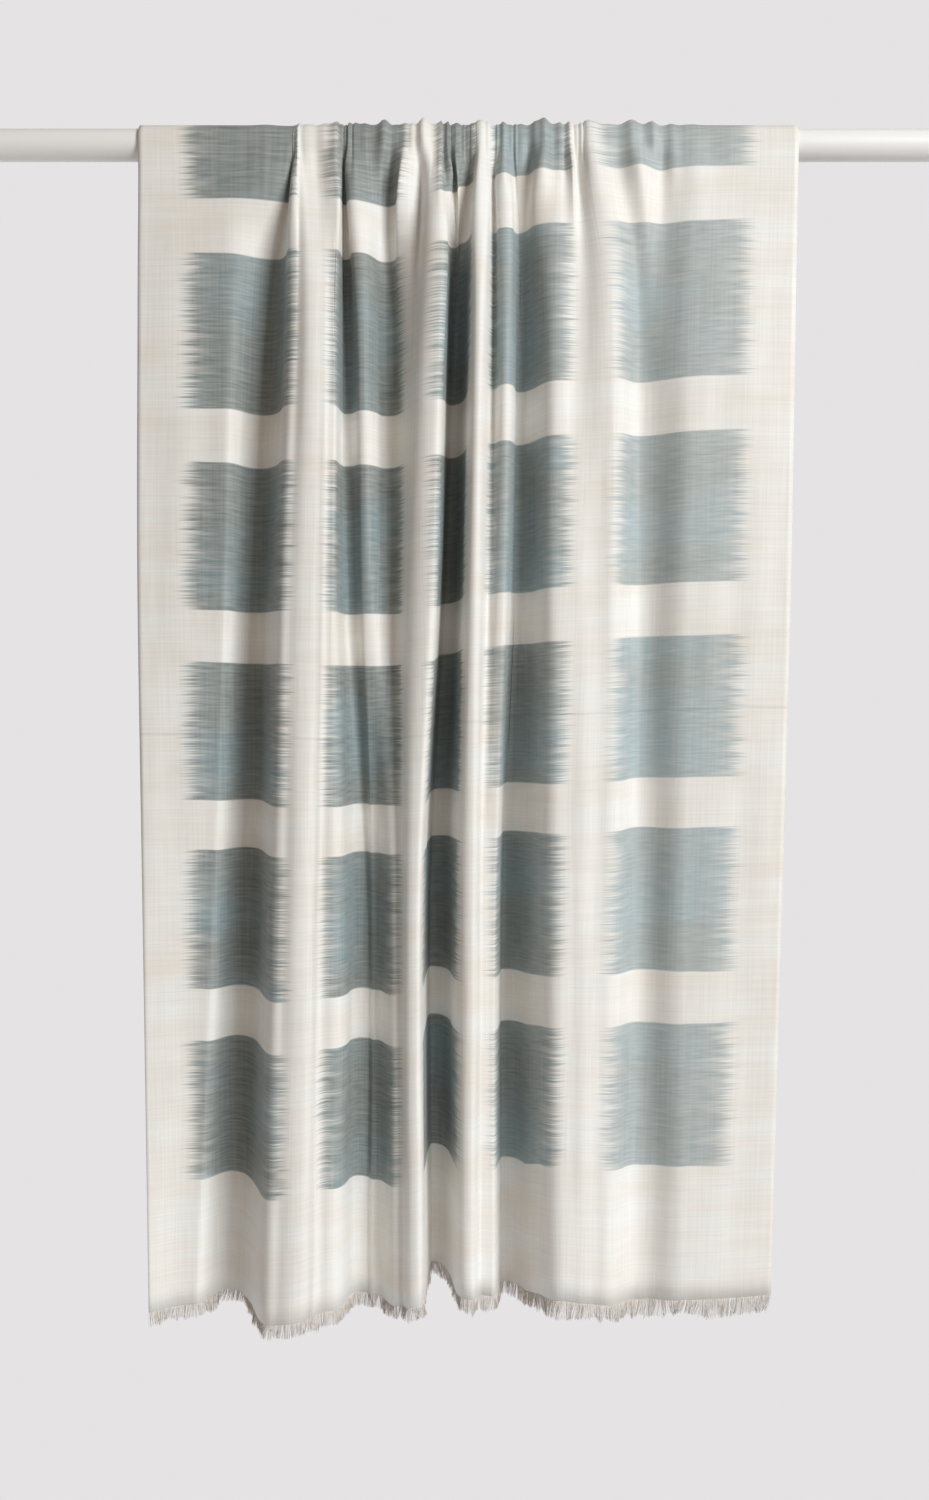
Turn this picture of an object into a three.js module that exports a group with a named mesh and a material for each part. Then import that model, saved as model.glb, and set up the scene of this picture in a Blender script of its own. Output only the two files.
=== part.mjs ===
import * as THREE from 'three';

// Sizes are in millimetres. The rod's axis runs along X through the origin, the front fall hangs
// on the -Y side and +Z is up.

const ROD_RADIUS = 12.5;
const ROD_LENGTH = 800;
const ROD_SIDES = 60;

const CLOTH_WALL = 1.2;
const ROD_CLEARANCE = 0.35;
const MIDDLE_RADIUS = ROD_RADIUS + ROD_CLEARANCE + CLOTH_WALL / 2;
const SEAM_GAP = 0.3;

// Depths below the rod's axis at which the folds are measured.
const LEVELS = [0, 125, 360, 610, 970];
// The stretch over the rod reaches this far down each fall.
const SEAM_DEPTH = 30;
// Mean depth of the two hems, and how much lower each one is per millimetre towards -X.
const FRONT_HEM_DEPTH = 975;
const BACK_HEM_DEPTH = 972;
const FRONT_SLANT = 1.9e-5;
const BACK_SLANT = -1.2e-5;

const FRONT_ROWS = 16;
const BACK_ROWS = 12;
const ARC_ROWS = 8;
const COLUMN_WIDTH = 10.5;
const FEWEST_COLUMNS = 3;

const FRINGE_LOCKS = 76;
const FRINGE_STRIP = 3;
const FRINGE_WALL = 1;
const FRINGE_LENGTHS = [19, 22, 18, 21, 24, 20, 17, 23];
const FRINGE_TIP = 0.7;

// A row for each fold line, from the left selvage to the right one as seen from the front. Names in
// capitals are the main ridges (R) and valleys (V); small letters are shallow folds between them.
// pull: how broad the cloth turns at the line, as a share of the distance to the next line
// across, out: X, and the distance out from the rod's surface, of the front fall at each level
// backAcross, backOut: the same for the back fall
// flat: where the line lies on the flat cloth, in millimetres from the left selvage
const FOLDS = [
  { line: 'left_edge', pull: 1, flat: 0,
    across: [-270, -271, -274, -273, -271.5], out: [1.5, 6, 12, 17, 24],
    backAcross: [-270, -270, -268, -265, -262], backOut: [1.5, 5, 9, 12, 14] },
  { line: 'R0', pull: 1.2, flat: 63,
    across: [-201, -199.5, -202.5, -213.5, -234], out: [1.5, 8, 16, 20, 19],
    backAcross: [-201, -212, -214, -214, -212], backOut: [1.5, 8, 12, 16, 18] },
  { line: 'V1', pull: 1.6, flat: 100,
    across: [-144.5, -167, -179.5, -190.5, -210], out: [1, -9, -6.5, -1, -2.5],
    backAcross: [-144.5, -150, -158, -166, -170], backOut: [1, 2, 4, 8.5, 8] },
  { line: 'R1', pull: 1.7, flat: 180,
    across: [-133.5, -125, -128, -132.5, -140], out: [2, 34, 44, 54, 60],
    backAcross: [-133.5, -122, -118, -116, -118], backOut: [2, 24, 34, 40, 44] },
  { line: 'v1b', pull: 1.3, flat: 194,
    across: [-119, -114.5, -117.5, -122, -128.5], out: [1, 34, 44, 54, 60],
    backAcross: [-119, -108, -102, -98, -98], backOut: [1, 22, 30, 34, 38] },
  { line: 'R1b', pull: 2.4, flat: 206,
    across: [-106.5, -105.5, -109.5, -112.5, -117], out: [2, 34, 44, 53, 57],
    backAcross: [-106.5, -94, -86, -80, -78], backOut: [2, 22, 30, 34, 38] },
  { line: 'V2', pull: 2, flat: 251,
    across: [-100, -100.5, -99, -86, -87.5], out: [1, 3.5, 11.5, 3, 4.5],
    backAcross: [-100, -84, -72, -62, -56], backOut: [1, 2, 7.5, 16, 23] },
  { line: 'R2a', pull: 1.7, flat: 276,
    across: [-92.5, -86, -81.5, -72, -70], out: [2, 21, 28, 20, 22],
    backAcross: [-92.5, -74, -60, -48, -40], backOut: [2, 20, 30, 38, 42] },
  { line: 'v2b', pull: 1.4, flat: 305,
    across: [-60.5, -64.5, -66, -59.5, -58], out: [1, -2, 9, 32, 35],
    backAcross: [-60.5, -50, -42, -34, -28], backOut: [1, 6, 14, 18, 22] },
  { line: 'R2', pull: 2.4, flat: 356,
    across: [-22, -23, -29, -40, -40.5], out: [2.5, 34, 43, 48, 50],
    backAcross: [-22, -18, -12, -6, 0], backOut: [2.5, 28, 42, 52, 58] },
  { line: 'V3', pull: 2.2, flat: 427,
    across: [-6.5, -9, -16, -30.5, -30], out: [1, -9, -18, -26, -27],
    backAcross: [-6.5, 4, 10, 14, 18], backOut: [1, 4, 10, 16, 20] },
  { line: 'R3', pull: 1.8, flat: 497,
    across: [12.5, 10.5, 6.5, 4, 2.5], out: [4, 34, 36, 32, 28],
    backAcross: [12.5, 22, 28, 34, 40], backOut: [4, 30, 40, 44, 46] },
  { line: 'v4a', pull: 1.3, flat: 521,
    across: [24, 23, 19, 13.5, 13], out: [1, 7.5, 14.5, 18, 14],
    backAcross: [24, 36, 44, 50, 56], backOut: [1, 9, 20.5, 26.5, 28.5] },
  { line: 'R4', pull: 2.2, flat: 534,
    across: [30.5, 31.5, 29.5, 23, 21.5], out: [2, 21, 22, 18, 14],
    backAcross: [30.5, 46, 56, 64, 70], backOut: [2, 26, 36, 42, 44] },
  { line: 'V4', pull: 1.6, flat: 571,
    across: [42, 44.5, 41, 32.5, 31.5], out: [1, -9, -9.5, -19.5, -24],
    backAcross: [42, 60, 72, 82, 90], backOut: [1, 2, 4, 10, 13.5] },
  { line: 'R5', pull: 1.5, flat: 632,
    across: [76.5, 73, 73.5, 76.5, 80.5], out: [2, 20, 29, 37, 42],
    backAcross: [76.5, 86, 96, 104, 112], backOut: [2, 24, 34, 40, 44] },
  { line: 'v5a', pull: 1.3, flat: 650,
    across: [86.5, 90, 90.5, 90, 92.5], out: [1, 15, 24, 34, 40],
    backAcross: [86.5, 100, 110, 118, 126], backOut: [1, 4.5, 14.5, 20.5, 24.5] },
  { line: 'R5b', pull: 1.5, flat: 676,
    across: [97.5, 113.5, 115, 114, 113.5], out: [2, 23, 30, 36, 41],
    backAcross: [97.5, 114, 126, 134, 142], backOut: [2, 22, 30, 36, 40] },
  { line: 'V5', pull: 1.3, flat: 718,
    across: [150.5, 145.5, 146.5, 147.5, 148.5], out: [1, 1.5, 4, 9, 14],
    backAcross: [150.5, 154, 160, 166, 172], backOut: [1, 8, 13, 17, 19] },
  { line: 'R6', pull: 1.2, flat: 757,
    across: [189.5, 184, 184, 183.5, 185], out: [1.5, 13, 19, 23, 25],
    backAcross: [189.5, 206, 212, 216, 218], backOut: [1.5, 8, 13, 17, 19] },
  { line: 'right_edge', pull: 1, flat: 840,
    across: [272.5, 270, 268, 264.5, 260.5], out: [1.5, 10, 17, 20, 20],
    backAcross: [272.5, 270, 266, 262, 260], backOut: [1.5, 6, 10, 13, 15] },
];

const FRONT = { across: 'across', out: 'out', side: -1, slant: FRONT_SLANT };
const BACK = { across: 'backAcross', out: 'backOut', side: 1, slant: BACK_SLANT };

// The parts of the cubic that joins two points with two tangents.
function cubic(t) {
  const t2 = t * t;
  const t3 = t2 * t;
  return [2 * t3 - 3 * t2 + 1, t3 - 2 * t2 + t, 3 * t2 - 2 * t3, t3 - t2];
}

// The slope of a row of values at a level: none at the rod, then that of its neighbours.
function levelSlope(values, i) {
  if (i === 0) return 0;
  const last = Math.min(i + 1, LEVELS.length - 1);
  return (values[last] - values[i - 1]) / (LEVELS[last] - LEVELS[i - 1]);
}

// A smooth value at any depth from the values at the five levels.
function atDepth(values, depth) {
  let i = 0;
  while (i < LEVELS.length - 2 && depth > LEVELS[i + 1]) i += 1;
  const height = LEVELS[i + 1] - LEVELS[i];
  const [a, b, c, d] = cubic((depth - LEVELS[i]) / height);
  return a * values[i] + b * height * levelSlope(values, i)
    + c * values[i + 1] + d * height * levelSlope(values, i + 1);
}

// The fold lines of one fall at a depth, as points of its cross-section.
function foldPoints(fall, depth) {
  return FOLDS.map((fold) => ({
    x: atDepth(fold[fall.across], depth),
    out: atDepth(fold[fall.out], depth),
    pull: fold.pull,
  }));
}

// A point of the cross-section between two fold lines. The cloth runs level at every fold line and
// straight at the selvages.
function betweenFolds(points, piece, t) {
  const from = points[piece];
  const to = points[piece + 1];
  const width = to.x - from.x;
  const rise = to.out - from.out;
  const first = piece === 0;
  const final = piece === points.length - 2;
  const [a, b, c, d] = cubic(t);
  return {
    x: a * from.x + b * width * (first ? 1 : from.pull) + c * to.x
      + d * width * (final ? 1 : to.pull),
    out: a * from.out + b * (first ? rise : 0) + c * to.out + d * (final ? rise : 0),
  };
}

// The columns of the cloth's grid: a piece between two fold lines, and a share of the way across it.
function gridColumns() {
  const columns = [];
  for (let piece = 0; piece < FOLDS.length - 1; piece += 1) {
    const width = FOLDS[piece + 1].flat - FOLDS[piece].flat;
    const count = Math.max(FEWEST_COLUMNS, Math.round(width / COLUMN_WIDTH));
    for (let i = 0; i < count; i += 1) columns.push({ piece, t: i / count });
  }
  columns.push({ piece: FOLDS.length - 2, t: 1 });
  return columns;
}

const COLUMNS = gridColumns();

// A row of points on a fall at a depth.
function hangingRow(fall, depth) {
  const points = foldPoints(fall, depth);
  return COLUMNS.map(({ piece, t }) => {
    const { x, out } = betweenFolds(points, piece, t);
    const y = fall.side * (MIDDLE_RADIUS + out);
    return new THREE.Vector3(x, y, -depth * (1 - fall.slant * x));
  });
}

// A row of points over the rod at an angle from its top, positive towards the front.
function arcRow(angle) {
  const points = foldPoints(FRONT, 0);
  return COLUMNS.map(({ piece, t }) => {
    const { x, out } = betweenFolds(points, piece, t);
    const radius = MIDDLE_RADIUS + out;
    return new THREE.Vector3(x, -radius * Math.sin(angle), radius * Math.cos(angle));
  });
}

function spread(from, to, count) {
  return Array.from({ length: count }, (_, i) => from + ((to - from) * i) / (count - 1));
}

// Outward directions at the points of a grid whose rows run towards the front hem.
function gridNormals(rows) {
  const pick = (list, i) => list[Math.min(Math.max(i, 0), list.length - 1)];
  return rows.map((row, i) => row.map((_, j) => {
    const along = pick(rows, i + 1)[j].clone().sub(pick(rows, i - 1)[j]);
    const across = pick(row, j + 1).clone().sub(pick(row, j - 1));
    return along.cross(across).normalize();
  }));
}

// A closed wall of an even thickness about a grid of middle points.
function wallGeometry(rows, thickness) {
  const normals = gridNormals(rows);
  const wide = rows[0].length;
  const half = rows.length * wide;
  const positions = [];
  for (const side of [thickness / 2, -thickness / 2]) {
    rows.forEach((row, i) => row.forEach((point, j) => {
      positions.push(...point.clone().addScaledVector(normals[i][j], side).toArray());
    }));
  }
  const faces = [];
  const quad = (a, b, c, d) => faces.push(a, b, c, a, c, d);
  for (let i = 0; i < rows.length - 1; i += 1) {
    for (let j = 0; j < wide - 1; j += 1) {
      const corner = i * wide + j;
      quad(corner, corner + wide, corner + wide + 1, corner + 1);
      quad(half + corner, half + corner + 1, half + corner + wide + 1, half + corner + wide);
    }
  }
  const rim = (a, b) => quad(a, b, half + b, half + a);
  const lastRow = (rows.length - 1) * wide;
  for (let j = 0; j < wide - 1; j += 1) {
    rim(j, j + 1);
    rim(lastRow + j + 1, lastRow + j);
  }
  for (let i = 0; i < rows.length - 1; i += 1) {
    rim((i + 1) * wide, i * wide);
    rim(i * wide + wide - 1, (i + 1) * wide + wide - 1);
  }
  return closedGeometry(positions, faces);
}

function closedGeometry(positions, faces) {
  const geometry = new THREE.BufferGeometry();
  geometry.setAttribute('position', new THREE.Float32BufferAttribute(positions, 3));
  geometry.setIndex(faces);
  geometry.computeVertexNormals();
  return geometry;
}

// Points spaced evenly along a row, each with the outward direction there.
function evenStations(row, count, side) {
  const lengths = [0];
  for (let j = 1; j < row.length; j += 1) lengths.push(lengths[j - 1] + row[j].distanceTo(row[j - 1]));
  const total = lengths[lengths.length - 1];
  return spread(0, total, count).map((wanted) => {
    let j = 1;
    while (j < row.length - 1 && lengths[j] < wanted) j += 1;
    const share = (wanted - lengths[j - 1]) / (lengths[j] - lengths[j - 1]);
    const before = row[Math.max(j - 2, 0)];
    const after = row[Math.min(j + 1, row.length - 1)];
    const across = after.clone().sub(before).setZ(0).normalize();
    return {
      point: row[j - 1].clone().lerp(row[j], share),
      outward: new THREE.Vector3(across.y * -side, across.x * side, 0),
      across,
    };
  });
}

// A hem fringe: a narrow strip just below the hem, with tapered locks that hang from it.
function fringeGeometry(fall, hemDepth) {
  const stations = evenStations(hangingRow(fall, hemDepth), 2 * FRINGE_LOCKS, fall.side);
  const top = -SEAM_GAP;
  const root = top - FRINGE_STRIP;
  const positions = [];
  const corner = (station, shift, drop, thickness) => {
    const at = station.point.clone().addScaledVector(station.outward, thickness / 2);
    at.addScaledVector(station.across, shift);
    positions.push(at.x, at.y, at.z + drop);
    return positions.length / 3 - 1;
  };
  const bands = stations.map((station) => ({
    outTop: corner(station, 0, top, FRINGE_WALL),
    outRoot: corner(station, 0, root, FRINGE_WALL),
    inTop: corner(station, 0, top, -FRINGE_WALL),
    inRoot: corner(station, 0, root, -FRINGE_WALL),
  }));
  const faces = [];
  const turn = fall.side < 0;
  const quad = (a, b, c, d) => (turn ? faces.push(a, b, c, a, c, d) : faces.push(a, c, b, a, d, c));
  for (let i = 0; i < stations.length - 1; i += 1) {
    const [left, right] = [bands[i], bands[i + 1]];
    quad(left.outTop, left.outRoot, right.outRoot, right.outTop);
    quad(left.inTop, right.inTop, right.inRoot, left.inRoot);
    quad(left.outTop, right.outTop, right.inTop, left.inTop);
    if (i % 2 === 1) {
      quad(left.outRoot, left.inRoot, right.inRoot, right.outRoot);
      continue;
    }
    const length = FRINGE_LENGTHS[(i / 2) % FRINGE_LENGTHS.length];
    const tip = root - length;
    const narrow = (stations[i + 1].point.distanceTo(stations[i].point) * (1 - FRINGE_TIP)) / 2;
    const outLeft = corner(stations[i], narrow, tip, FRINGE_WALL * FRINGE_TIP);
    const inLeft = corner(stations[i], narrow, tip, -FRINGE_WALL * FRINGE_TIP);
    const outRight = corner(stations[i + 1], -narrow, tip, FRINGE_WALL * FRINGE_TIP);
    const inRight = corner(stations[i + 1], -narrow, tip, -FRINGE_WALL * FRINGE_TIP);
    quad(left.outRoot, outLeft, outRight, right.outRoot);
    quad(left.inRoot, right.inRoot, inRight, inLeft);
    quad(left.outRoot, left.inRoot, inLeft, outLeft);
    quad(right.outRoot, outRight, inRight, right.inRoot);
    quad(outLeft, inLeft, inRight, outRight);
  }
  const [left, right] = [bands[0], bands[bands.length - 1]];
  quad(left.outTop, left.inTop, left.inRoot, left.outRoot);
  quad(right.outTop, right.outRoot, right.inRoot, right.inTop);
  return closedGeometry(positions, faces);
}

const WHITE_PAINT = new THREE.MeshStandardMaterial({ color: 0xf2f1ee, roughness: 0.4 });
const IVORY_WEAVE = new THREE.MeshStandardMaterial({ color: 0xd9d3c6, roughness: 0.8 });
const IVORY_YARN = new THREE.MeshStandardMaterial({ color: 0xe6e0d2, roughness: 0.85 });

const shawl = new THREE.Group();
shawl.name = 'pashmina_shawl';

function addSolid(name, geometry, material) {
  const mesh = new THREE.Mesh(geometry, material);
  mesh.name = name;
  shawl.add(mesh);
  return mesh;
}

const rod = addSolid(
  'rod',
  new THREE.CylinderGeometry(ROD_RADIUS, ROD_RADIUS, ROD_LENGTH, ROD_SIDES),
  WHITE_PAINT,
);
rod.rotation.z = Math.PI / 2;

const frontRows = spread(SEAM_DEPTH + SEAM_GAP / 2, FRONT_HEM_DEPTH, FRONT_ROWS)
  .map((depth) => hangingRow(FRONT, depth));
addSolid('cloth_front', wallGeometry(frontRows, CLOTH_WALL), IVORY_WEAVE);

const overRows = [
  hangingRow(BACK, SEAM_DEPTH - SEAM_GAP / 2),
  ...spread(-Math.PI / 2, Math.PI / 2, ARC_ROWS).map(arcRow),
  hangingRow(FRONT, SEAM_DEPTH - SEAM_GAP / 2),
];
addSolid('cloth_over_rod', wallGeometry(overRows, CLOTH_WALL), IVORY_WEAVE);

const backRows = spread(BACK_HEM_DEPTH, SEAM_DEPTH + SEAM_GAP / 2, BACK_ROWS)
  .map((depth) => hangingRow(BACK, depth));
addSolid('cloth_back', wallGeometry(backRows, CLOTH_WALL), IVORY_WEAVE);

addSolid('fringe_front', fringeGeometry(FRONT, FRONT_HEM_DEPTH), IVORY_YARN);
addSolid('fringe_back', fringeGeometry(BACK, BACK_HEM_DEPTH), IVORY_YARN);

export default shawl;
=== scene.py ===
import math

import bmesh
import bpy
import numpy as np
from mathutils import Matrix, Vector


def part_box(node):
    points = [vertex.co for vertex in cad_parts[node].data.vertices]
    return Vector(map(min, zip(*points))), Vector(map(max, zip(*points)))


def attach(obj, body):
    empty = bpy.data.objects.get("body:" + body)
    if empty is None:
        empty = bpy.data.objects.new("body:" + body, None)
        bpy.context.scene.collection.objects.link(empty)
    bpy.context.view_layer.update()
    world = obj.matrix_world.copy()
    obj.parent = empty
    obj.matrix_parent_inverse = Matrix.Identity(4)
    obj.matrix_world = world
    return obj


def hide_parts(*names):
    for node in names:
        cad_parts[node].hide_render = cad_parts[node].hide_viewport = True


bl_info = {
    "name": "Pashmina Shawl on a Rod",
    "version": (1, 0, 0),
    "blender": (4, 5, 0),
    "location": "View3D > Sidebar > Shawl",
    "description": "An ivory shawl with woven slate squares, draped over a white rod",
    "category": "Object",
}

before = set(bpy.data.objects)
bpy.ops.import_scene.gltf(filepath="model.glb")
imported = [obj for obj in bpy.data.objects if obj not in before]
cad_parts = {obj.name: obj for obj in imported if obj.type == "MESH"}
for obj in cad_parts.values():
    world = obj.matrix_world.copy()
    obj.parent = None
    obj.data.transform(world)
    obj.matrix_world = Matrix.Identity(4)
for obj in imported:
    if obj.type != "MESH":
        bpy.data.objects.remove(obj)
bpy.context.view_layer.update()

# A millimetre and the flat cloth's width, in metres, and how many squares the cloth has.
MM = 0.001
CLOTH_WIDE = 0.84
SQUARES_ACROSS = 5
SQUARES_ALONG = 11

# Depths below the rod's axis at which the folds are measured, in millimetres.
LEVELS = np.array([0.0, 125.0, 360.0, 610.0, 970.0])

# A row for each fold line, from the left selvage to the right one. Columns: how broad the cloth
# turns there (pull); then, at the five levels and in mm, the line's place on the flat cloth, X and
# the distance out from the rod's surface on the front fall, and the last two for the back fall.
FOLDS = [
    dict(line="left_edge", pull=1.0, flat=[0, 0, 0, 0, 0],
         x=[-270, -271, -273, -271, -270], out=[1.5, 7, 15, 24, 30],
         back_x=[-270, -270, -268, -265, -262], back_out=[1.5, 5, 9, 12, 14]),
    dict(line="R0", pull=1.2, flat=[71, 71, 70, 61, 42],
         x=[-201, -199.5, -202.5, -213.5, -234], out=[1.5, 8, 15, 17, 17],
         back_x=[-201, -212, -214, -214, -212], back_out=[1.5, 8, 12, 16, 18]),
    dict(line="V1", pull=1.6, flat=[112, 112, 103, 96, 80],
         x=[-144.5, -162, -180.5, -191.5, -209], out=[1, -9, -12, -10, -12],
         back_x=[-144.5, -150, -158, -166, -170], back_out=[1, 2, 4, 8.5, 8]),
    dict(line="r1a", pull=1.2, flat=[158, 158, 157, 155, 152],
         x=[-139, -137, -145.5, -151, -161], out=[1.5, 28, 40, 50, 56],
         back_x=[-139, -133, -134, -136, -139], back_out=[3, 18, 26, 32, 35]),
    dict(line="R1", pull=1.7, flat=[182, 182, 181, 179, 176],
         x=[-133.5, -125, -128, -132.5, -140], out=[2, 34, 44, 54, 60],
         back_x=[-133.5, -122, -118, -116, -118], back_out=[2, 24, 34, 40, 44]),
    dict(line="v1b", pull=1.3, flat=[195, 195, 195, 193, 190],
         x=[-119, -114.5, -117.5, -122, -128.5], out=[1, 33.5, 42.5, 52, 58],
         back_x=[-119, -108, -102, -98, -98], back_out=[1, 22, 30, 34, 38]),
    dict(line="R1b", pull=2.4, flat=[206, 206, 206, 206, 205],
         x=[-106.5, -105.5, -109.5, -112.5, -117], out=[2, 32, 40.5, 49, 53.5],
         back_x=[-106.5, -94, -86, -80, -78], back_out=[2, 22, 30, 34, 38]),
    dict(line="V2", pull=2.0, flat=[237, 237, 242, 268, 271],
         x=[-100, -100.5, -99, -86, -87.5], out=[1, 3.5, 11.5, 3, 4.5],
         back_x=[-100, -84, -72, -62, -56], back_out=[1, 2, 7.5, 16, 23]),
    dict(line="R2a", pull=1.7, flat=[262, 262, 268, 279, 282],
         x=[-92.5, -86, -83, -78.5, -80], out=[2, 21, 25, 10, 10],
         back_x=[-92.5, -74, -60, -48, -40], back_out=[2, 20, 30, 38, 42]),
    dict(line="v2b", pull=1.4, flat=[299, 299, 298, 314, 318],
         x=[-60.5, -64.5, -66, -59.5, -58], out=[1, -2, 9, 32, 35],
         back_x=[-60.5, -50, -42, -34, -28], back_out=[1, 6, 14, 18, 22]),
    dict(line="R2", pull=2.4, flat=[364, 364, 361, 346, 345],
         x=[-22, -23, -29, -40, -40.5], out=[2.5, 34, 43, 48, 50],
         back_x=[-22, -18, -12, -6, 0], back_out=[2.5, 28, 42, 52, 58]),
    dict(line="V3", pull=2.2, flat=[429, 429, 431, 422, 424],
         x=[-6.5, -9, -16, -30.5, -30], out=[1, -9, -18, -26, -27],
         back_x=[-6.5, 4, 10, 14, 18], back_out=[1, 4, 10, 16, 20]),
    dict(line="R3", pull=1.8, flat=[498, 498, 498, 495, 494],
         x=[12.5, 10.5, 6.5, 4, 2.5], out=[4, 34, 36, 32, 28],
         back_x=[12.5, 22, 28, 34, 40], back_out=[4, 30, 40, 44, 46]),
    dict(line="v4a", pull=1.3, flat=[529, 529, 524, 513, 511],
         x=[24, 23, 19, 13.5, 13], out=[1, 7.5, 14.5, 18, 14],
         back_x=[24, 36, 44, 50, 56], back_out=[1, 9, 20.5, 26.5, 28.5]),
    dict(line="R4", pull=2.2, flat=[546, 546, 538, 522, 519],
         x=[30.5, 31.5, 29.5, 23, 21.5], out=[2, 21, 22, 18, 14],
         back_x=[30.5, 46, 56, 64, 70], back_out=[2, 26, 36, 42, 44]),
    dict(line="V4", pull=1.6, flat=[581, 581, 573, 562, 560],
         x=[42, 44.5, 41, 32.5, 31.5], out=[1, -9, -9.5, -19.5, -24],
         back_x=[42, 60, 72, 82, 90], back_out=[1, 2, 4, 10, 13.5]),
    dict(line="R5", pull=1.5, flat=[625, 625, 627, 638, 647],
         x=[76.5, 73, 73.5, 76.5, 80.5], out=[2, 20, 29, 37, 42],
         back_x=[76.5, 86, 96, 104, 112], back_out=[2, 24, 34, 40, 44]),
    dict(line="v5a", pull=1.3, flat=[645, 645, 647, 653, 659],
         x=[86.5, 90, 90.5, 90, 92.5], out=[1, 16, 28, 36, 41.5],
         back_x=[86.5, 100, 110, 118, 126], back_out=[1, 4.5, 14.5, 20.5, 24.5]),
    dict(line="R5b", pull=1.5, flat=[674, 674, 675, 678, 680],
         x=[97.5, 113.5, 115, 114, 113.5], out=[2, 21.5, 26.5, 32.5, 38],
         back_x=[97.5, 114, 126, 134, 142], back_out=[2, 22, 30, 36, 40]),
    dict(line="V5", pull=1.3, flat=[713, 713, 716, 722, 727],
         x=[150.5, 145.5, 146.5, 147.5, 148.5], out=[1, 1.5, 4, 9, 14],
         back_x=[150.5, 154, 160, 166, 172], back_out=[1, 8, 13, 17, 19]),
    dict(line="R6", pull=1.2, flat=[752, 752, 755, 760, 766],
         x=[189.5, 184, 184, 183.5, 185], out=[1.5, 13, 19, 23, 25],
         back_x=[189.5, 206, 212, 216, 218], back_out=[1.5, 8, 13, 17, 19]),
    dict(line="right_edge", pull=1.0, flat=[840, 840, 840, 840, 840],
         x=[272.5, 270, 268, 264.5, 260.5], out=[1.5, 10, 17, 20, 20],
         back_x=[272.5, 270, 266, 262, 260], back_out=[1.5, 6, 10, 13, 15]),
]
PULL = np.array([row["pull"] for row in FOLDS])

# Small gathers that start in a pinch on the rod, and grooves between them: place on the flat
# cloth, height on the rod, further height where the cloth hangs free of it, half width, how far
# down the front and the back they fade, and sideways drift on the way, all in mm.
GATHERS = [
    dict(flat=96, rise=0.8, free=2.6, half=7, down=60, back_down=120, drift=-6),
    dict(flat=106, rise=0, free=6, half=20, down=120, back_down=60, drift=0),
    dict(flat=126, rise=0, free=-5, half=7, down=110, back_down=60, drift=0),
    dict(flat=156, rise=3.2, free=10.2, half=9, down=70, back_down=150, drift=-10),
    dict(flat=196, rise=0, free=-6, half=7, down=130, back_down=60, drift=6),
    dict(flat=206, rise=2.4, free=7.7, half=5, down=60, back_down=90, drift=0),
    dict(flat=238, rise=0, free=-5, half=8, down=110, back_down=90, drift=0),
    dict(flat=249, rise=3.2, free=10.2, half=5, down=80, back_down=90, drift=3),
    dict(flat=290, rise=4.8, free=6, half=5, down=80, back_down=100, drift=0),
    dict(flat=294, rise=0, free=-12, half=6, down=140, back_down=90, drift=0),
    dict(flat=312, rise=1.3, free=10, half=7, down=150, back_down=70, drift=4),
    dict(flat=342, rise=0, free=-12, half=6, down=160, back_down=60, drift=-6),
    dict(flat=341, rise=4.5, free=8, half=6, down=110, back_down=120, drift=20),
    dict(flat=366, rise=1.9, free=6.1, half=4, down=70, back_down=160, drift=2),
    dict(flat=388, rise=2.4, free=7.7, half=6, down=60, back_down=70, drift=0),
    dict(flat=422, rise=4, free=12.8, half=9, down=85, back_down=90, drift=0),
    dict(flat=496, rise=2.1, free=6.7, half=6, down=60, back_down=80, drift=-4),
    dict(flat=546, rise=2.7, free=8.6, half=6, down=70, back_down=60, drift=0),
    dict(flat=585, rise=1.1, free=3.5, half=4, down=70, back_down=140, drift=2),
    dict(flat=596, rise=0, free=-7, half=9, down=90, back_down=60, drift=0),
    dict(flat=606, rise=4, free=12.8, half=8, down=110, back_down=110, drift=-6),
    dict(flat=641, rise=2.9, free=9.3, half=5, down=70, back_down=80, drift=3),
    dict(flat=678, rise=2.7, free=8.6, half=5, down=80, back_down=90, drift=6),
    dict(flat=703, rise=3.7, free=11.8, half=5, down=105, back_down=130, drift=14),
    dict(flat=715, rise=3.4, free=0, half=4, down=75, back_down=180, drift=12),
    dict(flat=722, rise=0, free=-6, half=8, down=90, back_down=60, drift=0),
    dict(flat=748, rise=0.7, free=2.2, half=8, down=60, back_down=90, drift=8),
]

# How far along the cloth from its middle the edges of the squares lie, and where an even weave
# would put them, in mm: the weaver's rows get a little shorter towards the hem.
WOVEN_AT = [0, 67.5, 111.4, 239.1, 282.3, 405.1, 448, 565, 605.9, 726, 769.8, 891.4, 1005.4]
EVEN_AT = [0, 62, 107, 231, 276, 400, 445, 569, 614, 738, 783, 907, 1021]

# How far back the cloth has slid on the rod, and how far its rows lie back at the front hem, by the
# place on the flat cloth, in mm.
SLIP_AT = [50, 90, 275, 330, 370, 440, 546, 620, 725, 792]
SLIP_ROD = [-3, -4, -8, -7, -2, 6, 14, 17, 21, 24]
SLIP_HEM = [5, 2, -1, 0, 2, 6, 8, 10, 13, 12]

# How much higher than level the front hem hangs, by the place on the flat cloth, in mm.
HEM_AT = [0, 60, 100, 150, 176, 205, 240, 271, 298, 320, 345, 424, 460, 494, 519, 560, 590, 620,
          647, 680, 727, 766, 840]
HEM_LIFT = [0, -1, -4, 1, 5, 11, 10, 1, 1, 5, 12, 12, 6, 5, 0, -6, -5, 7, 10, 4, -5, 0, 0]

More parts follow.
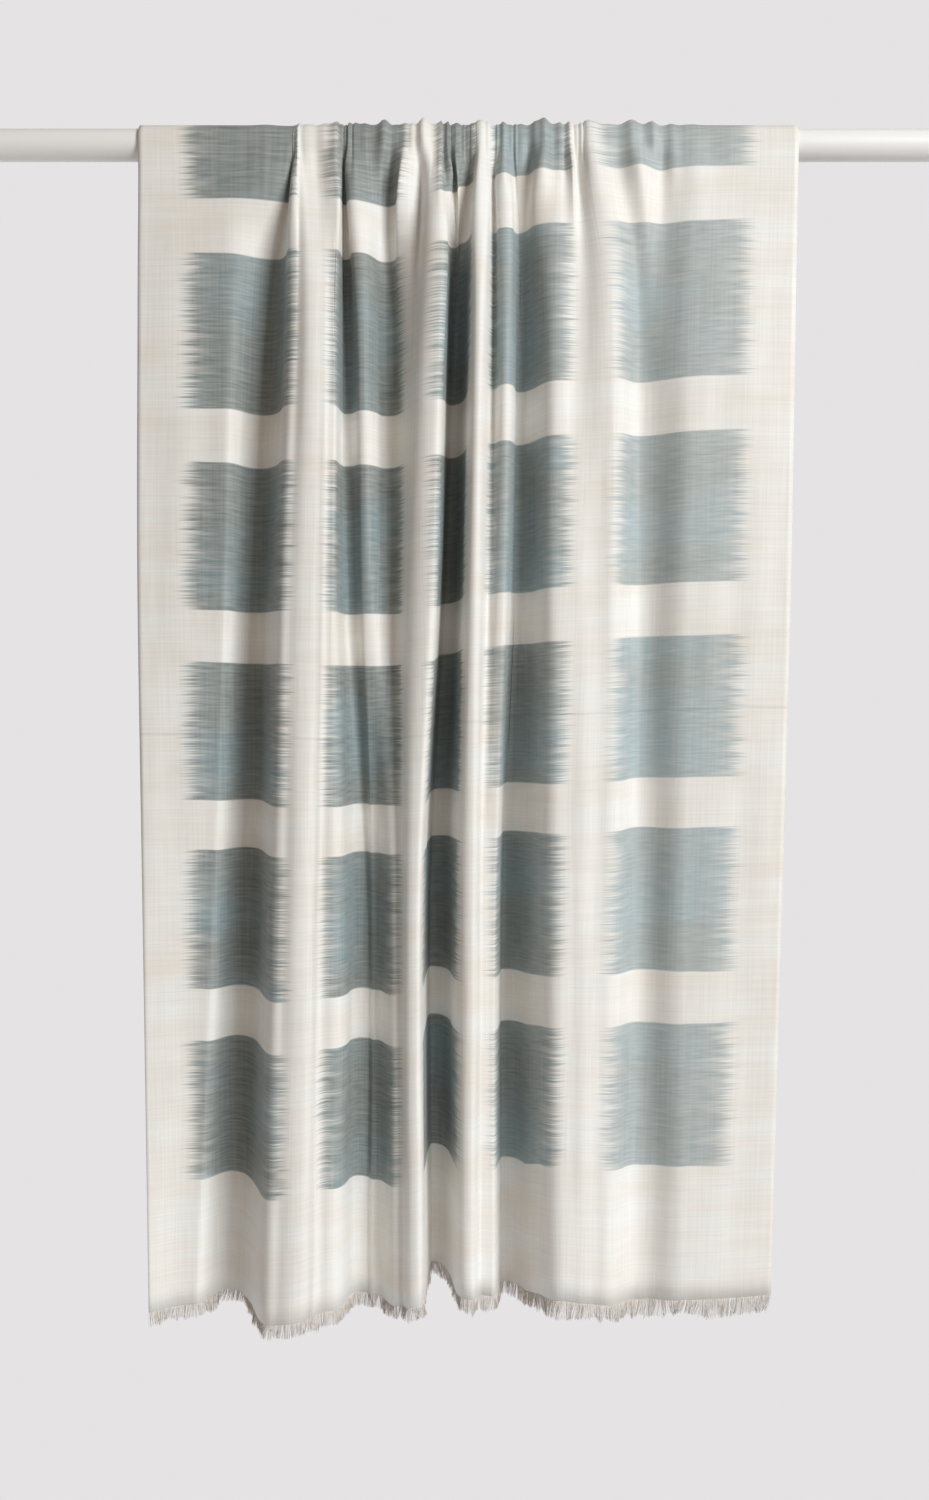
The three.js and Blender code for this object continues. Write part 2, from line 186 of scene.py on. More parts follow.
# How much a fall's rows drop from one side to the other, per mm of X and of depth.
FRONT_SLANT = 1.9e-5
BACK_SLANT = -1.2e-5

# Depths in mm at which the cloth has left the rod, a gather has drifted by its drift and the soft
# ripples are at their full height, and from which and over which the front hem's lift grows.
CLEAR_OF_ROD = 32
DRIFT_DEPTH = 120
RIPPLE_DEPTH = 200
LIFT_FROM = 500
LIFT_OVER = 470

# The cloth's grid: steps between two fold lines in a measured section, columns, rows on the rod,
# and the step from row to row far below the rod, in mm.
FOLD_STEPS = 48
GRID_COLUMNS = 330
ROD_ROWS = 19
ROW_STEP = 18.0

# Soft panels that each look at a point of the cloth. The stage's settings hold their power.
LIGHTS = [
    dict(name="key", place=(2.25, -2.45, 0.75), aim=(0, 0, -0.5), size=1.4, spread=3.1,
         colour=(0.975, 0.995, 1.0)),
    dict(name="fill", place=(-2.6, -0.9, -0.2), aim=(0, 0, -0.5), size=1.4, spread=3.1,
         colour=(0.6, 0.82, 1.0)),
    dict(name="low", place=(0.4, -1.2, -1.3), aim=(-0.2, 0, -1.0), size=0.4, spread=1.1,
         colour=(0.93, 0.97, 1.0)),
]


def cubic_parts(t):
    """The four cubic weights that join two points with two slopes: 2t^3-3t^2+1, t^3-2t^2+t,
    3t^2-2t^3 and t^3-t^2."""
    t2, t3 = t * t, t * t * t
    return 2 * t3 - 3 * t2 + 1, t3 - 2 * t2 + t, 3 * t2 - 2 * t3, t3 - t2


def smooth_step(t):
    """3t^2-2t^3 with t held between 0 and 1."""
    t = np.clip(t, 0.0, 1.0)
    return t * t * (3 - 2 * t)


def at_depth(values, depth):
    """Values per fold line at any depth: between two levels, the cubic through their values whose
    slope is that of the neighbouring levels, and none at the rod. Gives depths x lines."""
    values = np.asarray(values, float)
    slopes = np.zeros_like(values)
    last = len(LEVELS) - 1
    for i in range(1, len(LEVELS)):
        j = min(i + 1, last)
        slopes[:, i] = (values[:, j] - values[:, i - 1]) / (LEVELS[j] - LEVELS[i - 1])
    i = np.clip(np.searchsorted(LEVELS, depth, side="left") - 1, 0, last - 1)
    height = LEVELS[i + 1] - LEVELS[i]
    a, b, c, d = cubic_parts((depth - LEVELS[i]) / height)
    return (a * values[:, i] + b * height * slopes[:, i]
            + c * values[:, i + 1] + d * height * slopes[:, i + 1]).T


def column(name):
    """One column of the table of fold lines."""
    return [row[name] for row in FOLDS]


def cross_sections(depth, back):
    """The cloth's cross-section at each depth, as a chain of cubics from fold line to fold line.
    They run level at each line but the two selvages, and their slope along X is pull times the
    distance to the next line. Gives X, distance out and place on the flat cloth, each depths x
    points; the flat place grows with the length of the curve."""
    x = at_depth(column("back_x" if back else "x"), depth)
    out = at_depth(column("back_out" if back else "out"), depth)
    if back:
        flat = np.repeat(np.array(column("flat"), float)[:, :1].T, len(depth), 0)
    else:
        flat = at_depth(column("flat"), depth)
    wide, rise = np.diff(x, axis=1), np.diff(out, axis=1)
    pull_from, pull_to = PULL[:-1], PULL[1:]
    rise_from, rise_to = np.zeros(len(pull_from)), np.zeros(len(pull_to))
    rise_from[0] = rise_to[-1] = 1.0
    a, b, c, d = cubic_parts(np.linspace(0, 1, FOLD_STEPS + 1))
    curve_x = (x[:, :-1, None] * a + (wide * pull_from)[:, :, None] * b
               + x[:, 1:, None] * c + (wide * pull_to)[:, :, None] * d)
    curve_out = (out[:, :-1, None] * a + (rise * rise_from)[:, :, None] * b
                 + out[:, 1:, None] * c + (rise * rise_to)[:, :, None] * d)
    steps = np.hypot(np.diff(curve_x, axis=2), np.diff(curve_out, axis=2))
    share = np.concatenate([np.zeros(steps.shape[:2] + (1,)), np.cumsum(steps, 2)], 2)
    share /= share[:, :, -1:]
    curve_flat = flat[:, :-1, None] + np.diff(flat, axis=1)[:, :, None] * share
    rows = len(depth)

    def chain(curve):
        """The stretches between fold lines joined into one row for each depth."""
        return np.concatenate([curve[:, :, :-1].reshape(rows, -1), curve[:, -1:, -1]], 1)

    return chain(curve_x), chain(curve_out), chain(curve_flat)


def column_places(x, out, count, evenness):
    """Positions along each row for the grid's columns, as shares of the points' order. They come
    closer where the row turns sharply: their density is evenness plus the turning."""
    dx, dy = np.gradient(x, axis=1), np.gradient(out, axis=1)
    turn = np.abs(np.gradient(np.unwrap(np.arctan2(dy, dx), axis=1), axis=1)).mean(0)
    length = np.hypot(dx, dy).mean(0)
    weight = evenness * length / length.sum() + turn / turn.sum()
    window = 13
    weight = np.pad(weight, window // 2, mode="edge")
    weight = np.convolve(weight, np.ones(window) / window, "valid")
    total = np.concatenate([[0], np.cumsum((weight[1:] + weight[:-1]) / 2)])
    return np.interp(np.linspace(0, total[-1], count), total, np.arange(len(total)))


def fine_gathers(crimp):
    """Seeded fine gathers all over the gathered middle, whose mean height on the rod is crimp."""
    first, last, spacing, shift = 132.0, 742.0, 13.0, 4
    rng = np.random.default_rng(17)
    rows = []
    for place in np.arange(first, last, spacing):
        rise = crimp * rng.uniform(0, 2)
        rows.append(dict(flat=place + rng.uniform(-shift, shift), rise=rise, free=2 * rise,
                         half=3.6, down=rng.uniform(30, 90), back_down=rng.uniform(30, 90),
                         drift=rng.uniform(-shift, shift)))
    return rows


def gather_rise(x, flat, depth, back, crimp):
    """The height that the small gathers add: for each, (rise + free where the cloth has left the
    rod) times exp(-(distance / half)^2), times exp(-(depth / down)^1.5). They broaden with depth,
    and are lower where the cloth is squeezed sideways."""
    deep = depth[:, None]
    clear_of_rod = smooth_step(deep / CLEAR_OF_ROD)
    broader = 1 + 0.6 * smooth_step(deep / 40) + deep / 110
    drifted = np.minimum(deep / DRIFT_DEPTH, 2.0)
    total = np.zeros_like(flat)
    for g in GATHERS + fine_gathers(crimp):
        tall = g["rise"] + g["free"] * clear_of_rod
        fade = np.exp(-(deep / g["back_down" if back else "down"]) ** 1.5)
        centre = g["flat"] + g["drift"] * drifted * (0.5 if back else 1.0)
        total += tall * fade * np.exp(-((flat - centre) / (g["half"] * broader)) ** 2)
    squeeze = np.gradient(x, axis=1) / np.maximum(np.gradient(flat, axis=1), 1e-6)
    return total * np.clip(squeeze / 0.45, 0.15, 1.0)


def ripple(flat, depth, seed, count, low, high, tall):
    """A sum of count long soft waves, between -1 and 1 or so: sin(2 pi (flat / wave + lean depth /
    wave^2) + phase) with a seeded wave of low to high mm. Tall says how much more slowly they
    change with depth."""
    rng = np.random.default_rng(seed)
    total = np.zeros_like(flat)
    for _ in range(count):
        wave = rng.uniform(low, high)
        lean = rng.uniform(-1, 1) * wave / tall
        total += np.sin(2 * math.pi * (flat / wave + depth[:, None] * lean / wave / wave)
                        + rng.uniform(0, 2 * math.pi)) * rng.uniform(0.5, 1)
    return total / math.sqrt(count)


def row_depths(hem):
    """Depths of the grid's rows on a fall: steps that grow from 3 mm while they are near the rod,
    and then even ones to the hem."""
    near_rod = 90
    near = np.geomspace(3.0, 9.0, 16).cumsum()
    near = near[near < near_rod]
    rest = np.linspace(near[-1], hem, int((hem - near[-1]) / ROW_STEP))[1:]
    return np.concatenate([[0.0], near, rest])


def spread_columns(falls, evenness):
    """The measured sections of both falls at the grid's columns, which are the same on each.
    Every sixth depth is enough to see where the rows turn."""
    every = 6
    x, out = (np.concatenate([falls["back"][k][::every], falls["front"][k][::every]])
              for k in (0, 1))
    places = column_places(x, out, GRID_COLUMNS, evenness)
    order = np.arange(x.shape[1])
    return {side: [np.stack([np.interp(places, order, row) for row in values]) for values in fall]
            for side, fall in falls.items()}


def hang(section, depth, back, radius, p):
    """A fall: its sections are moved along their own normals by the gathers and ripples, and a
    point is (x, the rod's radius + out, -drop). Drop is the depth, changed a little from side to
    side by the slant, less the front hem's lift. Gives the points, X and the distance out."""
    x, out, flat = section
    rise = gather_rise(x, flat, depth, back, p.crimp / MM)
    settle = smooth_step(depth / RIPPLE_DEPTH)[:, None]
    waves = ripple(flat, depth, seed=5 if back else 3, count=7, low=34, high=110, tall=9)
    rise += p.ripple / MM * settle * waves
    dx, do = np.gradient(x, axis=1), np.gradient(out, axis=1)
    size = np.hypot(dx, do)
    x = x - rise * do / size
    out = out + rise * dx / size
    drop = depth[:, None] * (1 - (BACK_SLANT if back else FRONT_SLANT) * x)
    if not back:
        low_down = smooth_step((depth - LIFT_FROM) / LIFT_OVER)[:, None]
        drop -= low_down * np.interp(flat, HEM_AT, HEM_LIFT)
    side = 1.0 if back else -1.0
    return np.stack([x, side * (radius + out), -drop], 2), x, out


def cloth_surface(p):
    """The middle of the cloth as a grid from the back hem over the rod to the front hem: two falls,
    and over the rod (x, -r sin a, r cos a) with r the radius + out where the front fall begins.
    Also gives each point's place across and along the flat cloth. The place along it is the length
    from the rod's top, with the slip added and the weaver's uneven rows made even."""
    radius = p.rod_radius / MM + p.clearance / MM + p.thickness / MM / 2
    quarter = radius * math.pi / 2
    back_depth, front_depth = row_depths(p.back_hem / MM), row_depths(p.front_hem / MM)
    sections = spread_columns({"back": cross_sections(back_depth, True),
                               "front": cross_sections(front_depth, False)}, p.evenness)
    back_points, _, _ = hang(sections["back"], back_depth, True, radius, p)
    front_points, x, out = hang(sections["front"], front_depth, False, radius, p)
    angle = np.linspace(-math.pi / 2, math.pi / 2, ROD_ROWS)[1:-1]
    ring = radius + out[:1]
    arc = np.stack([np.repeat(x[:1], len(angle), 0), -np.sin(angle)[:, None] * ring,
                    np.cos(angle)[:, None] * ring], 2)
    points = np.concatenate([back_points[::-1], arc, front_points])
    back_flat, front_flat = sections["back"][2], sections["front"][2]
    flat = np.concatenate([back_flat[::-1], np.repeat(front_flat[:1], len(angle), 0), front_flat])
    path = np.concatenate([-(quarter + back_depth)[::-1], angle * radius, quarter + front_depth])
    hung = smooth_step((path - quarter) / (p.front_hem / MM))[:, None]
    on_rod, at_hem = np.interp(flat, SLIP_AT, SLIP_ROD), np.interp(flat, SLIP_AT, SLIP_HEM)
    along = path[:, None] + ((1 - hung) * on_rod + hung * at_hem)
    along = np.sign(along) * np.interp(np.abs(along), WOVEN_AT, EVEN_AT)
    return points * MM, flat * MM, along * MM


def grid_normals(points):
    """Unit directions out of the cloth: the cross product of the steps down and across it."""
    down, across = np.gradient(points, axis=0), np.gradient(points, axis=1)
    normal = np.cross(down, across)
    return normal / np.linalg.norm(normal, axis=2, keepdims=True)


def shell_mesh(name, points, thickness, uv):
    """A closed shell: the grid of points moved half the thickness out and in along its normals,
    joined round the rim, with the same map on both sides."""
    normals = grid_normals(points)
    high, wide = points.shape[:2]
    count = high * wide
    sides = [points + normals * thickness / 2, points - normals * thickness / 2]
    verts = np.concatenate([s.reshape(-1, 3) for s in sides])
    index = np.arange(count).reshape(high, wide)
    a, b, c, d = index[:-1, :-1], index[1:, :-1], index[1:, 1:], index[:-1, 1:]
    outer = np.stack([a, b, c, d], 2).reshape(-1, 4)
    inner = np.stack([a, d, c, b], 2).reshape(-1, 4) + count
    ring = np.concatenate([index[0, :], index[1:, -1], index[-1, -2::-1], index[-2:0:-1, 0]])
    following = np.roll(ring, -1)
    rim = np.stack([ring, following, following + count, ring + count], 1)
    faces = np.concatenate([outer, inner, rim])
    mesh = mesh_from(name, verts, faces)
    put_uv(mesh, np.concatenate([uv.reshape(-1, 2)] * 2))
    return mesh


def mesh_from(name, verts, faces):
    """A mesh of faces that all have the same number of corners."""
    mesh = bpy.data.meshes.new(name)
    sides = faces.shape[1]
    mesh.vertices.add(len(verts))
    mesh.vertices.foreach_set("co", np.asarray(verts, np.float32).ravel())
    mesh.loops.add(faces.size)
    mesh.loops.foreach_set("vertex_index", faces.astype(np.int32).ravel())
    mesh.polygons.add(len(faces))
    mesh.polygons.foreach_set("loop_start", np.arange(0, faces.size, sides, dtype=np.int32))
    mesh.update(calc_edges=True)
    mesh.validate()
    mesh.shade_smooth()
    return mesh


def put_uv(mesh, uv):
    """Gives the mesh a map in metres on the flat cloth, from one place for each vertex."""
    layer = mesh.uv_layers.new(name="flat_cloth")
    loops = np.empty(len(mesh.loops), np.int32)
    mesh.loops.foreach_get("vertex_index", loops)
    layer.data.foreach_set("uv", uv[loops].astype(np.float32).ravel())


def show(name, mesh, material):
    """Puts the mesh into the scene as an object at the origin."""
    obj = bpy.data.objects.new(name, mesh)
    bpy.context.scene.collection.objects.link(obj)
    mesh.materials.append(material)
    return obj


def fringe_mesh(name, hem, uv, outward, p, seed):
    """Fine threads that hang from a hem: each a prism of three sides in four steps, whose middle
    is root + (0, 0, -length t) + a sideways drift that grows as t^1.6, and whose radius falls to
    half at the tip. Their length follows slow waves along the hem and grows to the right."""
    inset, jitter, tucked_in, droop = 0.0004, 0.0004, 0.0012, 1.6
    rng = np.random.default_rng(seed)
    hem_steps = np.linalg.norm(np.diff(hem, axis=0), axis=1)
    length = np.concatenate([[0], np.cumsum(hem_steps)])
    count = p.threads
    place = np.linspace(inset, length[-1] - inset, count)
    place = np.clip(place + rng.normal(0, jitter, count), 0, length[-1])
    root = np.stack([np.interp(place, length, hem[:, k]) for k in range(3)], 1)
    out = np.stack([np.interp(place, length, outward[:, k]) for k in range(3)], 1)
    tangent = np.cross(out, [0.0, 0.0, 1.0])
    tangent /= np.linalg.norm(tangent, axis=1, keepdims=True)
    flat = np.interp(place, length, uv)

    def waves(spacing, size):
        """Seeded heights every spacing along the hem, joined by straight lines."""
        knots = np.arange(0, length[-1] + spacing, spacing)
        return np.interp(place, knots, rng.normal(0, size, len(knots)))

    # Waves of two spacings make the threads longer or shorter, and lean along and out of the hem.
    tall = p.fringe_length * (1 + waves(0.019, 0.09) + waves(0.0035, 0.07))
    to_right = smooth_step((flat / CLOTH_WIDE - 0.5) / 0.35)
    tall *= (1 + p.fringe_right * to_right) * rng.uniform(0.84, 1.04, count)
    bend = waves(0.006, 0.0015) + waves(0.0022, 0.0009) + rng.normal(0, 0.0006, count) + 0.0008
    lift = waves(0.008, 0.0012) + rng.normal(0, 0.0006, count)
    levels = np.linspace(0, 1, 5)
    thin = p.thread * rng.uniform(0.7, 1.25, count)
    turn = rng.uniform(0, 2 * math.pi, count)
    up = tucked_in - tall[:, None] * levels
    middle = (root[:, None] + np.array([0, 0, 1.0]) * up[:, :, None]
              + tangent[:, None] * (bend[:, None] * levels ** droop)[:, :, None]
              + out[:, None] * (lift[:, None] * levels ** droop)[:, :, None])
    radius = thin[:, None] * (1 - 0.5 * levels)
    corner = turn[:, None] + np.arange(3) * 2 * math.pi / 3
    ring = (np.cos(corner)[:, :, None] * tangent[:, None]
            + np.sin(corner)[:, :, None] * out[:, None])
    verts = middle[:, :, None] + radius[:, :, None, None] * ring[:, None]
    per = levels.size * 3
    level, side = np.divmod(np.arange(per - 3), 3)
    a, b = level * 3 + side, level * 3 + (side + 1) % 3
    quads = np.stack([a, b, b + 3, a + 3], 1)
    ends = np.array([[2, 1, 0], [per - 3, per - 2, per - 1]])
    base = np.arange(count)[:, None, None] * per
    faces = (base + quads).reshape(-1, 4).tolist()
    faces += (base + ends).reshape(-1, 3).tolist()
    mesh = bpy.data.meshes.new(name)
    mesh.from_pydata(verts.reshape(-1, 3).tolist(), [], faces)
    face_out(mesh)
    mesh.shade_smooth()
    put_uv(mesh, np.stack([np.repeat(flat, per), np.zeros(count * per)], 1))
    return mesh


def face_out(mesh):
    """Turns every face of each closed piece outwards."""
    work = bmesh.new()
    work.from_mesh(mesh)
    bmesh.ops.recalc_face_normals(work, faces=work.faces)
    work.to_mesh(mesh)
    work.free()


class Nodes:
    """A short way to write a material's node tree."""

    def __init__(self, material):
        material.use_nodes = True
        self.tree = material.node_tree
        self.tree.nodes.clear()

    def add(self, kind, **settings):
        """A new node of this kind."""
        node = self.tree.nodes.new(kind)
        for key, value in settings.items():
            setattr(node, key, value)
        return node

    def link(self, source, target):
        """Links a socket, or sets the value, where source is a number or a colour."""
        if isinstance(source, bpy.types.NodeSocket):
            self.tree.links.new(source, target)
        else:
            target.default_value = source

    def math(self, operation, a, b=0.0, c=0.0, clamp=False):
        """The operation on up to three sockets or numbers."""
        node = self.add("ShaderNodeMath", operation=operation, use_clamp=clamp)
        for socket, value in zip(node.inputs, (a, b, c)):
            self.link(value, socket)
        return node.outputs[0]

    def ramp(self, value, low, high):
        """0 below low, 1 above high and smooth between."""
        node = self.add("ShaderNodeMapRange", interpolation_type="SMOOTHSTEP", clamp=True)
        self.link(value, node.inputs["Value"])
        self.link(low, node.inputs["From Min"])
        self.link(high, node.inputs["From Max"])
        return node.outputs["Result"]

    def noise(self, x, y, scale_x, scale_y, detail=2.0, seed=0.0):
        """Noise whose grain is 1/scale_x by 1/scale_y metres."""
        place = self.add("ShaderNodeCombineXYZ")
        self.link(self.math("MULTIPLY", x, scale_x), place.inputs[0])
        self.link(self.math("MULTIPLY", y, scale_y), place.inputs[1])
        self.link(seed, place.inputs[2])
        node = self.add("ShaderNodeTexNoise")
        node.inputs["Scale"].default_value = 1.0
        node.inputs["Detail"].default_value = detail
        node.inputs["Roughness"].default_value = 0.5
        self.link(place.outputs[0], node.inputs["Vector"])
        return node.outputs["Fac"]

    def mix(self, amount, a, b, blend="MIX"):
        """Colour a where the amount is 0 and colour b where it is 1."""
        node = self.add("ShaderNodeMix", data_type="RGBA", blend_type=blend)
        self.link(amount, node.inputs[0])
        self.link(a, node.inputs[6])
        self.link(b, node.inputs[7])
        return node.outputs[2]


def linear(colour):
    """An sRGB colour of 0 to 255 as linear RGBA."""
    c = np.array(colour, float) / 255
    value = np.where(c <= 0.04045, c / 12.92, ((c + 0.055) / 1.055) ** 2.4)
    return (*value.tolist(), 1.0)


def put_surface(n, shader):
    """The material's output, with this shader as its surface."""
    out = n.add("ShaderNodeOutputMaterial")
    n.link(shader.outputs[0], out.inputs["Surface"])


def flat_place(n):
    """Metres across and along the flat cloth, from the piece's map."""
    uv = n.add("ShaderNodeUVMap", uv_map="flat_cloth")
    split = n.add("ShaderNodeSeparateXYZ")
    n.link(uv.outputs[0], split.inputs[0])
    return split.outputs[0], split.outputs[1]


def dyed_squares(n, u, v, p):
    """Where the dye is, from 0 to 1, with the square's column from the left, a seed for each square
    and the distance inside its nearer side. Its top and bottom are crisp, and its sides step in and
    out from thread to thread."""
    pitch, row_pitch = p.square_wide + p.gap_wide, p.square_tall + p.gap_tall
    from_edge = n.math("SUBTRACT", u, p.border)
    col = n.math("FLOOR", n.math("DIVIDE", n.math("ADD", from_edge, p.gap_wide / 2), pitch))
    row = n.math("ROUND", n.math("DIVIDE", v, row_pitch))
    # The two factors only keep the squares' seeds apart.
    seed = n.math("MULTIPLY_ADD", col, 7.3, n.math("MULTIPLY", row, 3.7))

    # Single threads, pairs and bundles: how many to a metre, their share of the feather, and a step
    # of the seed.
    push = 0.0
    for grain, share, seed_step in ((900.0, 1.4, 0.0), (620.0, 0.5, 0.3), (110.0, 0.14, 0.6)):
        reach = p.feather * share
        strand = n.noise(u, v, 9.0, grain, detail=0.0, seed=n.math("ADD", seed, seed_step))
        push = n.math("ADD", push, n.math("MULTIPLY_ADD", strand, reach, -0.5 * reach))
    centre = n.math("MULTIPLY_ADD", col, pitch, p.border + p.square_wide / 2)
    from_centre = n.math("ABSOLUTE", n.math("SUBTRACT", u, centre))
    side = n.math("SUBTRACT", p.square_wide / 2, from_centre)
    across = n.ramp(n.math("ADD", side, push), -p.feather * 0.5, p.feather * 0.55)

    # The tops and bottoms wander by a thread or two.
    wander = 0.003
    step = n.noise(u, v, 14.0, 0.5, detail=1.0, seed=row)
    from_middle = n.math("ABSOLUTE", n.math("SUBTRACT", v, n.math("MULTIPLY", row, row_pitch)))
    tall = n.math("SUBTRACT", p.square_tall / 2, from_middle)
    tall = n.math("ADD", tall, n.math("MULTIPLY_ADD", step, wander, -wander / 2))
    along = n.ramp(tall, -0.0006, 0.0009)

    # No squares past the last columns and rows.
    mask = n.math("MULTIPLY", across, along)
    col_from_middle = n.math("SUBTRACT", col, (SQUARES_ACROSS - 1) / 2)
    for place, count in ((col_from_middle, SQUARES_ACROSS), (row, SQUARES_ALONG)):
        inside = n.math("LESS_THAN", n.math("ABSOLUTE", place), count / 2)
        mask = n.math("MULTIPLY", mask, inside)
    return mask, col, seed, side


def dyed_yarn(n, u, v, p, warp):
    """The yarn's colour: ivory, and slate where the squares are, with dye that took unevenly in
    short threads and in broad paler or bluer clouds."""
    mask, col, seed, side = dyed_squares(n, u, v, p)
    # From the middle column on, the squares get paler and bluer to the right.
    to_right = n.ramp(col, 2.0, 4.5)
    tone = n.noise(u, v, 32.0, 460.0, detail=1.0, seed=seed)
    broad = n.noise(u, v, 7.0, 14.0, detail=1.0, seed=seed)
    slate = n.mix(n.ramp(tone, 0.1, 0.9), linear(p.slate_deep), linear(p.slate_pale))
    cool = n.math("MULTIPLY", n.ramp(broad, 0.4, 0.75), 0.5)
    cool = n.math("ADD", cool, n.math("MULTIPLY", to_right, 0.5))
    slate = n.mix(cool, slate, linear(p.slate_cool))
    warmth = n.noise(u, v, 11.0, 30.0, detail=2.0, seed=9.0)
    ivory = n.mix(n.ramp(warmth, 0.3, 0.75), linear(p.ivory), linear(p.ivory_warm))

    fine = n.noise(u, v, 60.0, 620.0, detail=0.0, seed=2.0)
    strength = n.math("ADD", n.math("MULTIPLY", fine, 0.28), n.math("MULTIPLY", warp, 0.22))
    strength = n.math("ADD", strength, 0.68)
    strength = n.math("SUBTRACT", strength, n.math("MULTIPLY", to_right, p.right_pale))
    # In some bands of threads the dye thins out well inside the sides.
    bands = n.noise(u, v, 5.0, 190.0, detail=3.0, seed=n.math("ADD", seed, 1.9))
    near_side = n.math("SUBTRACT", 1.0, n.ramp(side, 0.0, 0.03))
    thin = n.math("MULTIPLY", n.ramp(bands, 0.38, 0.72), near_side)
    strength = n.math("SUBTRACT", strength, n.math("MULTIPLY", thin, 0.36))
    strength = n.math("MAXIMUM", strength, 0.0)
    return n.mix(n.math("MULTIPLY", mask, strength, clamp=True), ivory, slate)


def pressed_line(n, u, v, p):
    """1 on the line that storage pressed in, a quarter of the length from each end, and 0 beside
    it.
    The line wanders by 4 mm to each side. It dents the cloth and darkens its colour as painted
    shade."""
    wander = 0.008
    fold = n.math("SUBTRACT", n.math("ABSOLUTE", v), p.crease)
    wobble = n.math("MULTIPLY_ADD", n.noise(u, v, 9.0, 0.5, seed=6.0), wander, -wander / 2)
    fold = n.math("ABSOLUTE", n.math("ADD", fold, wobble))
    return n.math("SUBTRACT", 1.0, n.ramp(fold, 0.0004, 0.0020))


def cloth_material(p):
    """Fine plain weave with a grid of resist-dyed squares, a pressed line, slubs and sheen."""
    material = bpy.data.materials.new("pashmina_ikat")
    n = Nodes(material)
    u, v = flat_place(n)
    warp = n.noise(u, v, 540.0, 14.0, detail=0.0, seed=4.0)
    weft = n.noise(u, v, 14.0, 600.0, detail=0.0, seed=5.0)
    slub = n.noise(u, v, 22.0, 420.0, detail=1.0, seed=8.0)
    crumple = n.noise(u, v, 34.0, 20.0, detail=2.0, seed=11.0)
    threads = n.math("ADD", n.math("MULTIPLY", warp, 0.5), n.math("MULTIPLY", weft, 0.5))
    crease = pressed_line(n, u, v, p)

    # Darker and lighter threads and slubs shade the yarn's colour, and the pressed line darkens it
    # as painted shade.
    shade = n.math("MULTIPLY_ADD", n.math("SUBTRACT", threads, 0.5), 0.20, 1.0)
    shade = n.math("SUBTRACT", shade, n.math("MULTIPLY", n.ramp(slub, 0.66, 0.8), 0.06))
    # Painted shade: the colour is darkened by 9% along the pressed line.
    shade = n.math("SUBTRACT", shade, n.math("MULTIPLY", crease, 0.09))
    grey = n.add("ShaderNodeCombineColor")
    for socket in grey.inputs:
        n.link(shade, socket)
    colour = n.mix(1.0, dyed_yarn(n, u, v, p, warp), grey.outputs[0], "MULTIPLY")

    height = n.math("ADD", threads, n.math("MULTIPLY", crumple, 3.0))
    height = n.math("SUBTRACT", height, n.math("MULTIPLY", crease, 0.6))
    bump = n.add("ShaderNodeBump")
    bump.inputs["Strength"].default_value = 0.4
    bump.inputs["Distance"].default_value = 0.0003
    n.link(height, bump.inputs["Height"])

    shader = n.add("ShaderNodeBsdfPrincipled")
    n.link(colour, shader.inputs["Base Color"])
    shader.inputs["Roughness"].default_value = 0.55
    shader.inputs["Specular IOR Level"].default_value = 0.3
    shader.inputs["Sheen Weight"].default_value = 0.12
    shader.inputs["Sheen Roughness"].default_value = 0.4
    n.link(bump.outputs[0], shader.inputs["Normal"])
    put_surface(n, shader)
    return material


def yarn_material(p):
    """The fringe's yarn: ivory, a little uneven from thread to thread."""
    material = bpy.data.materials.new("fringe_ivory")
    n = Nodes(material)
    u, _ = flat_place(n)
    tone = n.noise(u, 0.0, 700.0, 1.0, detail=1.0, seed=3.0)
    colour = n.mix(n.ramp(tone, 0.3, 0.7), linear(p.yarn), linear(p.ivory_warm))
    shader = n.add("ShaderNodeBsdfPrincipled")
    n.link(colour, shader.inputs["Base Color"])
    shader.inputs["Roughness"].default_value = 0.8
    shader.inputs["Specular IOR Level"].default_value = 0.2
    put_surface(n, shader)
    return material


def backdrop_mesh(name, floor):
    """A sheet that runs from the floor up a wall behind in a smooth bend: in the YZ plane the
    points of two straight lines and a quarter circle, repeated along X."""
    bend, wall, near, half_wide, high = 1.2, 3.2, -0.7, 6.0, 6.0
    turn = np.linspace(0, math.pi / 2, 25)
    y = np.concatenate([[near], wall - bend + bend * np.sin(turn), [wall]])
    z = np.concatenate([[floor], floor + bend * (1 - np.cos(turn)), [floor + high]])
    x = np.array([-half_wide, half_wide])
    verts = np.stack([np.repeat(x[None], len(y), 0), np.repeat(y[:, None], 2, 1),
                      np.repeat(z[:, None], 2, 1)], 2).reshape(-1, 3)
    base = np.arange(len(y) - 1) * 2
    return mesh_from(name, verts, np.stack([base, base + 1, base + 3, base + 2], 1))


def backdrop_material(p):
    """A sheet lit evenly from behind: the same pale colour all over."""
    material = bpy.data.materials.new("backdrop")
    n = Nodes(material)
    glow = n.add("ShaderNodeEmission")
    glow.inputs["Color"].default_value = linear(p.backdrop)
    put_surface(n, glow)
    return material


def rod_material(p):
    """Smooth white paint with very faint brush marks along the rod."""
    material = bpy.data.materials.new("white_paint")
    n = Nodes(material)
    place = n.add("ShaderNodeTexCoord")
    split = n.add("ShaderNodeSeparateXYZ")
    n.link(place.outputs["Object"], split.inputs[0])
    marks = n.noise(split.outputs[0], split.outputs[1], 12.0, 900.0, detail=1.0, seed=1.0)
    colour = n.mix(marks, linear(p.paint), linear(p.paint_shade))
    shader = n.add("ShaderNodeBsdfPrincipled")
    n.link(colour, shader.inputs["Base Color"])
    shader.inputs["Roughness"].default_value = 0.38
    shader.inputs["Specular IOR Level"].default_value = 0.4
    put_surface(n, shader)
    return material


def length_prop(name, description, default):
    """A length in metres."""
    return bpy.props.FloatProperty(name=name, description=description, default=default,
                                   unit="LENGTH", subtype="DISTANCE", precision=5)


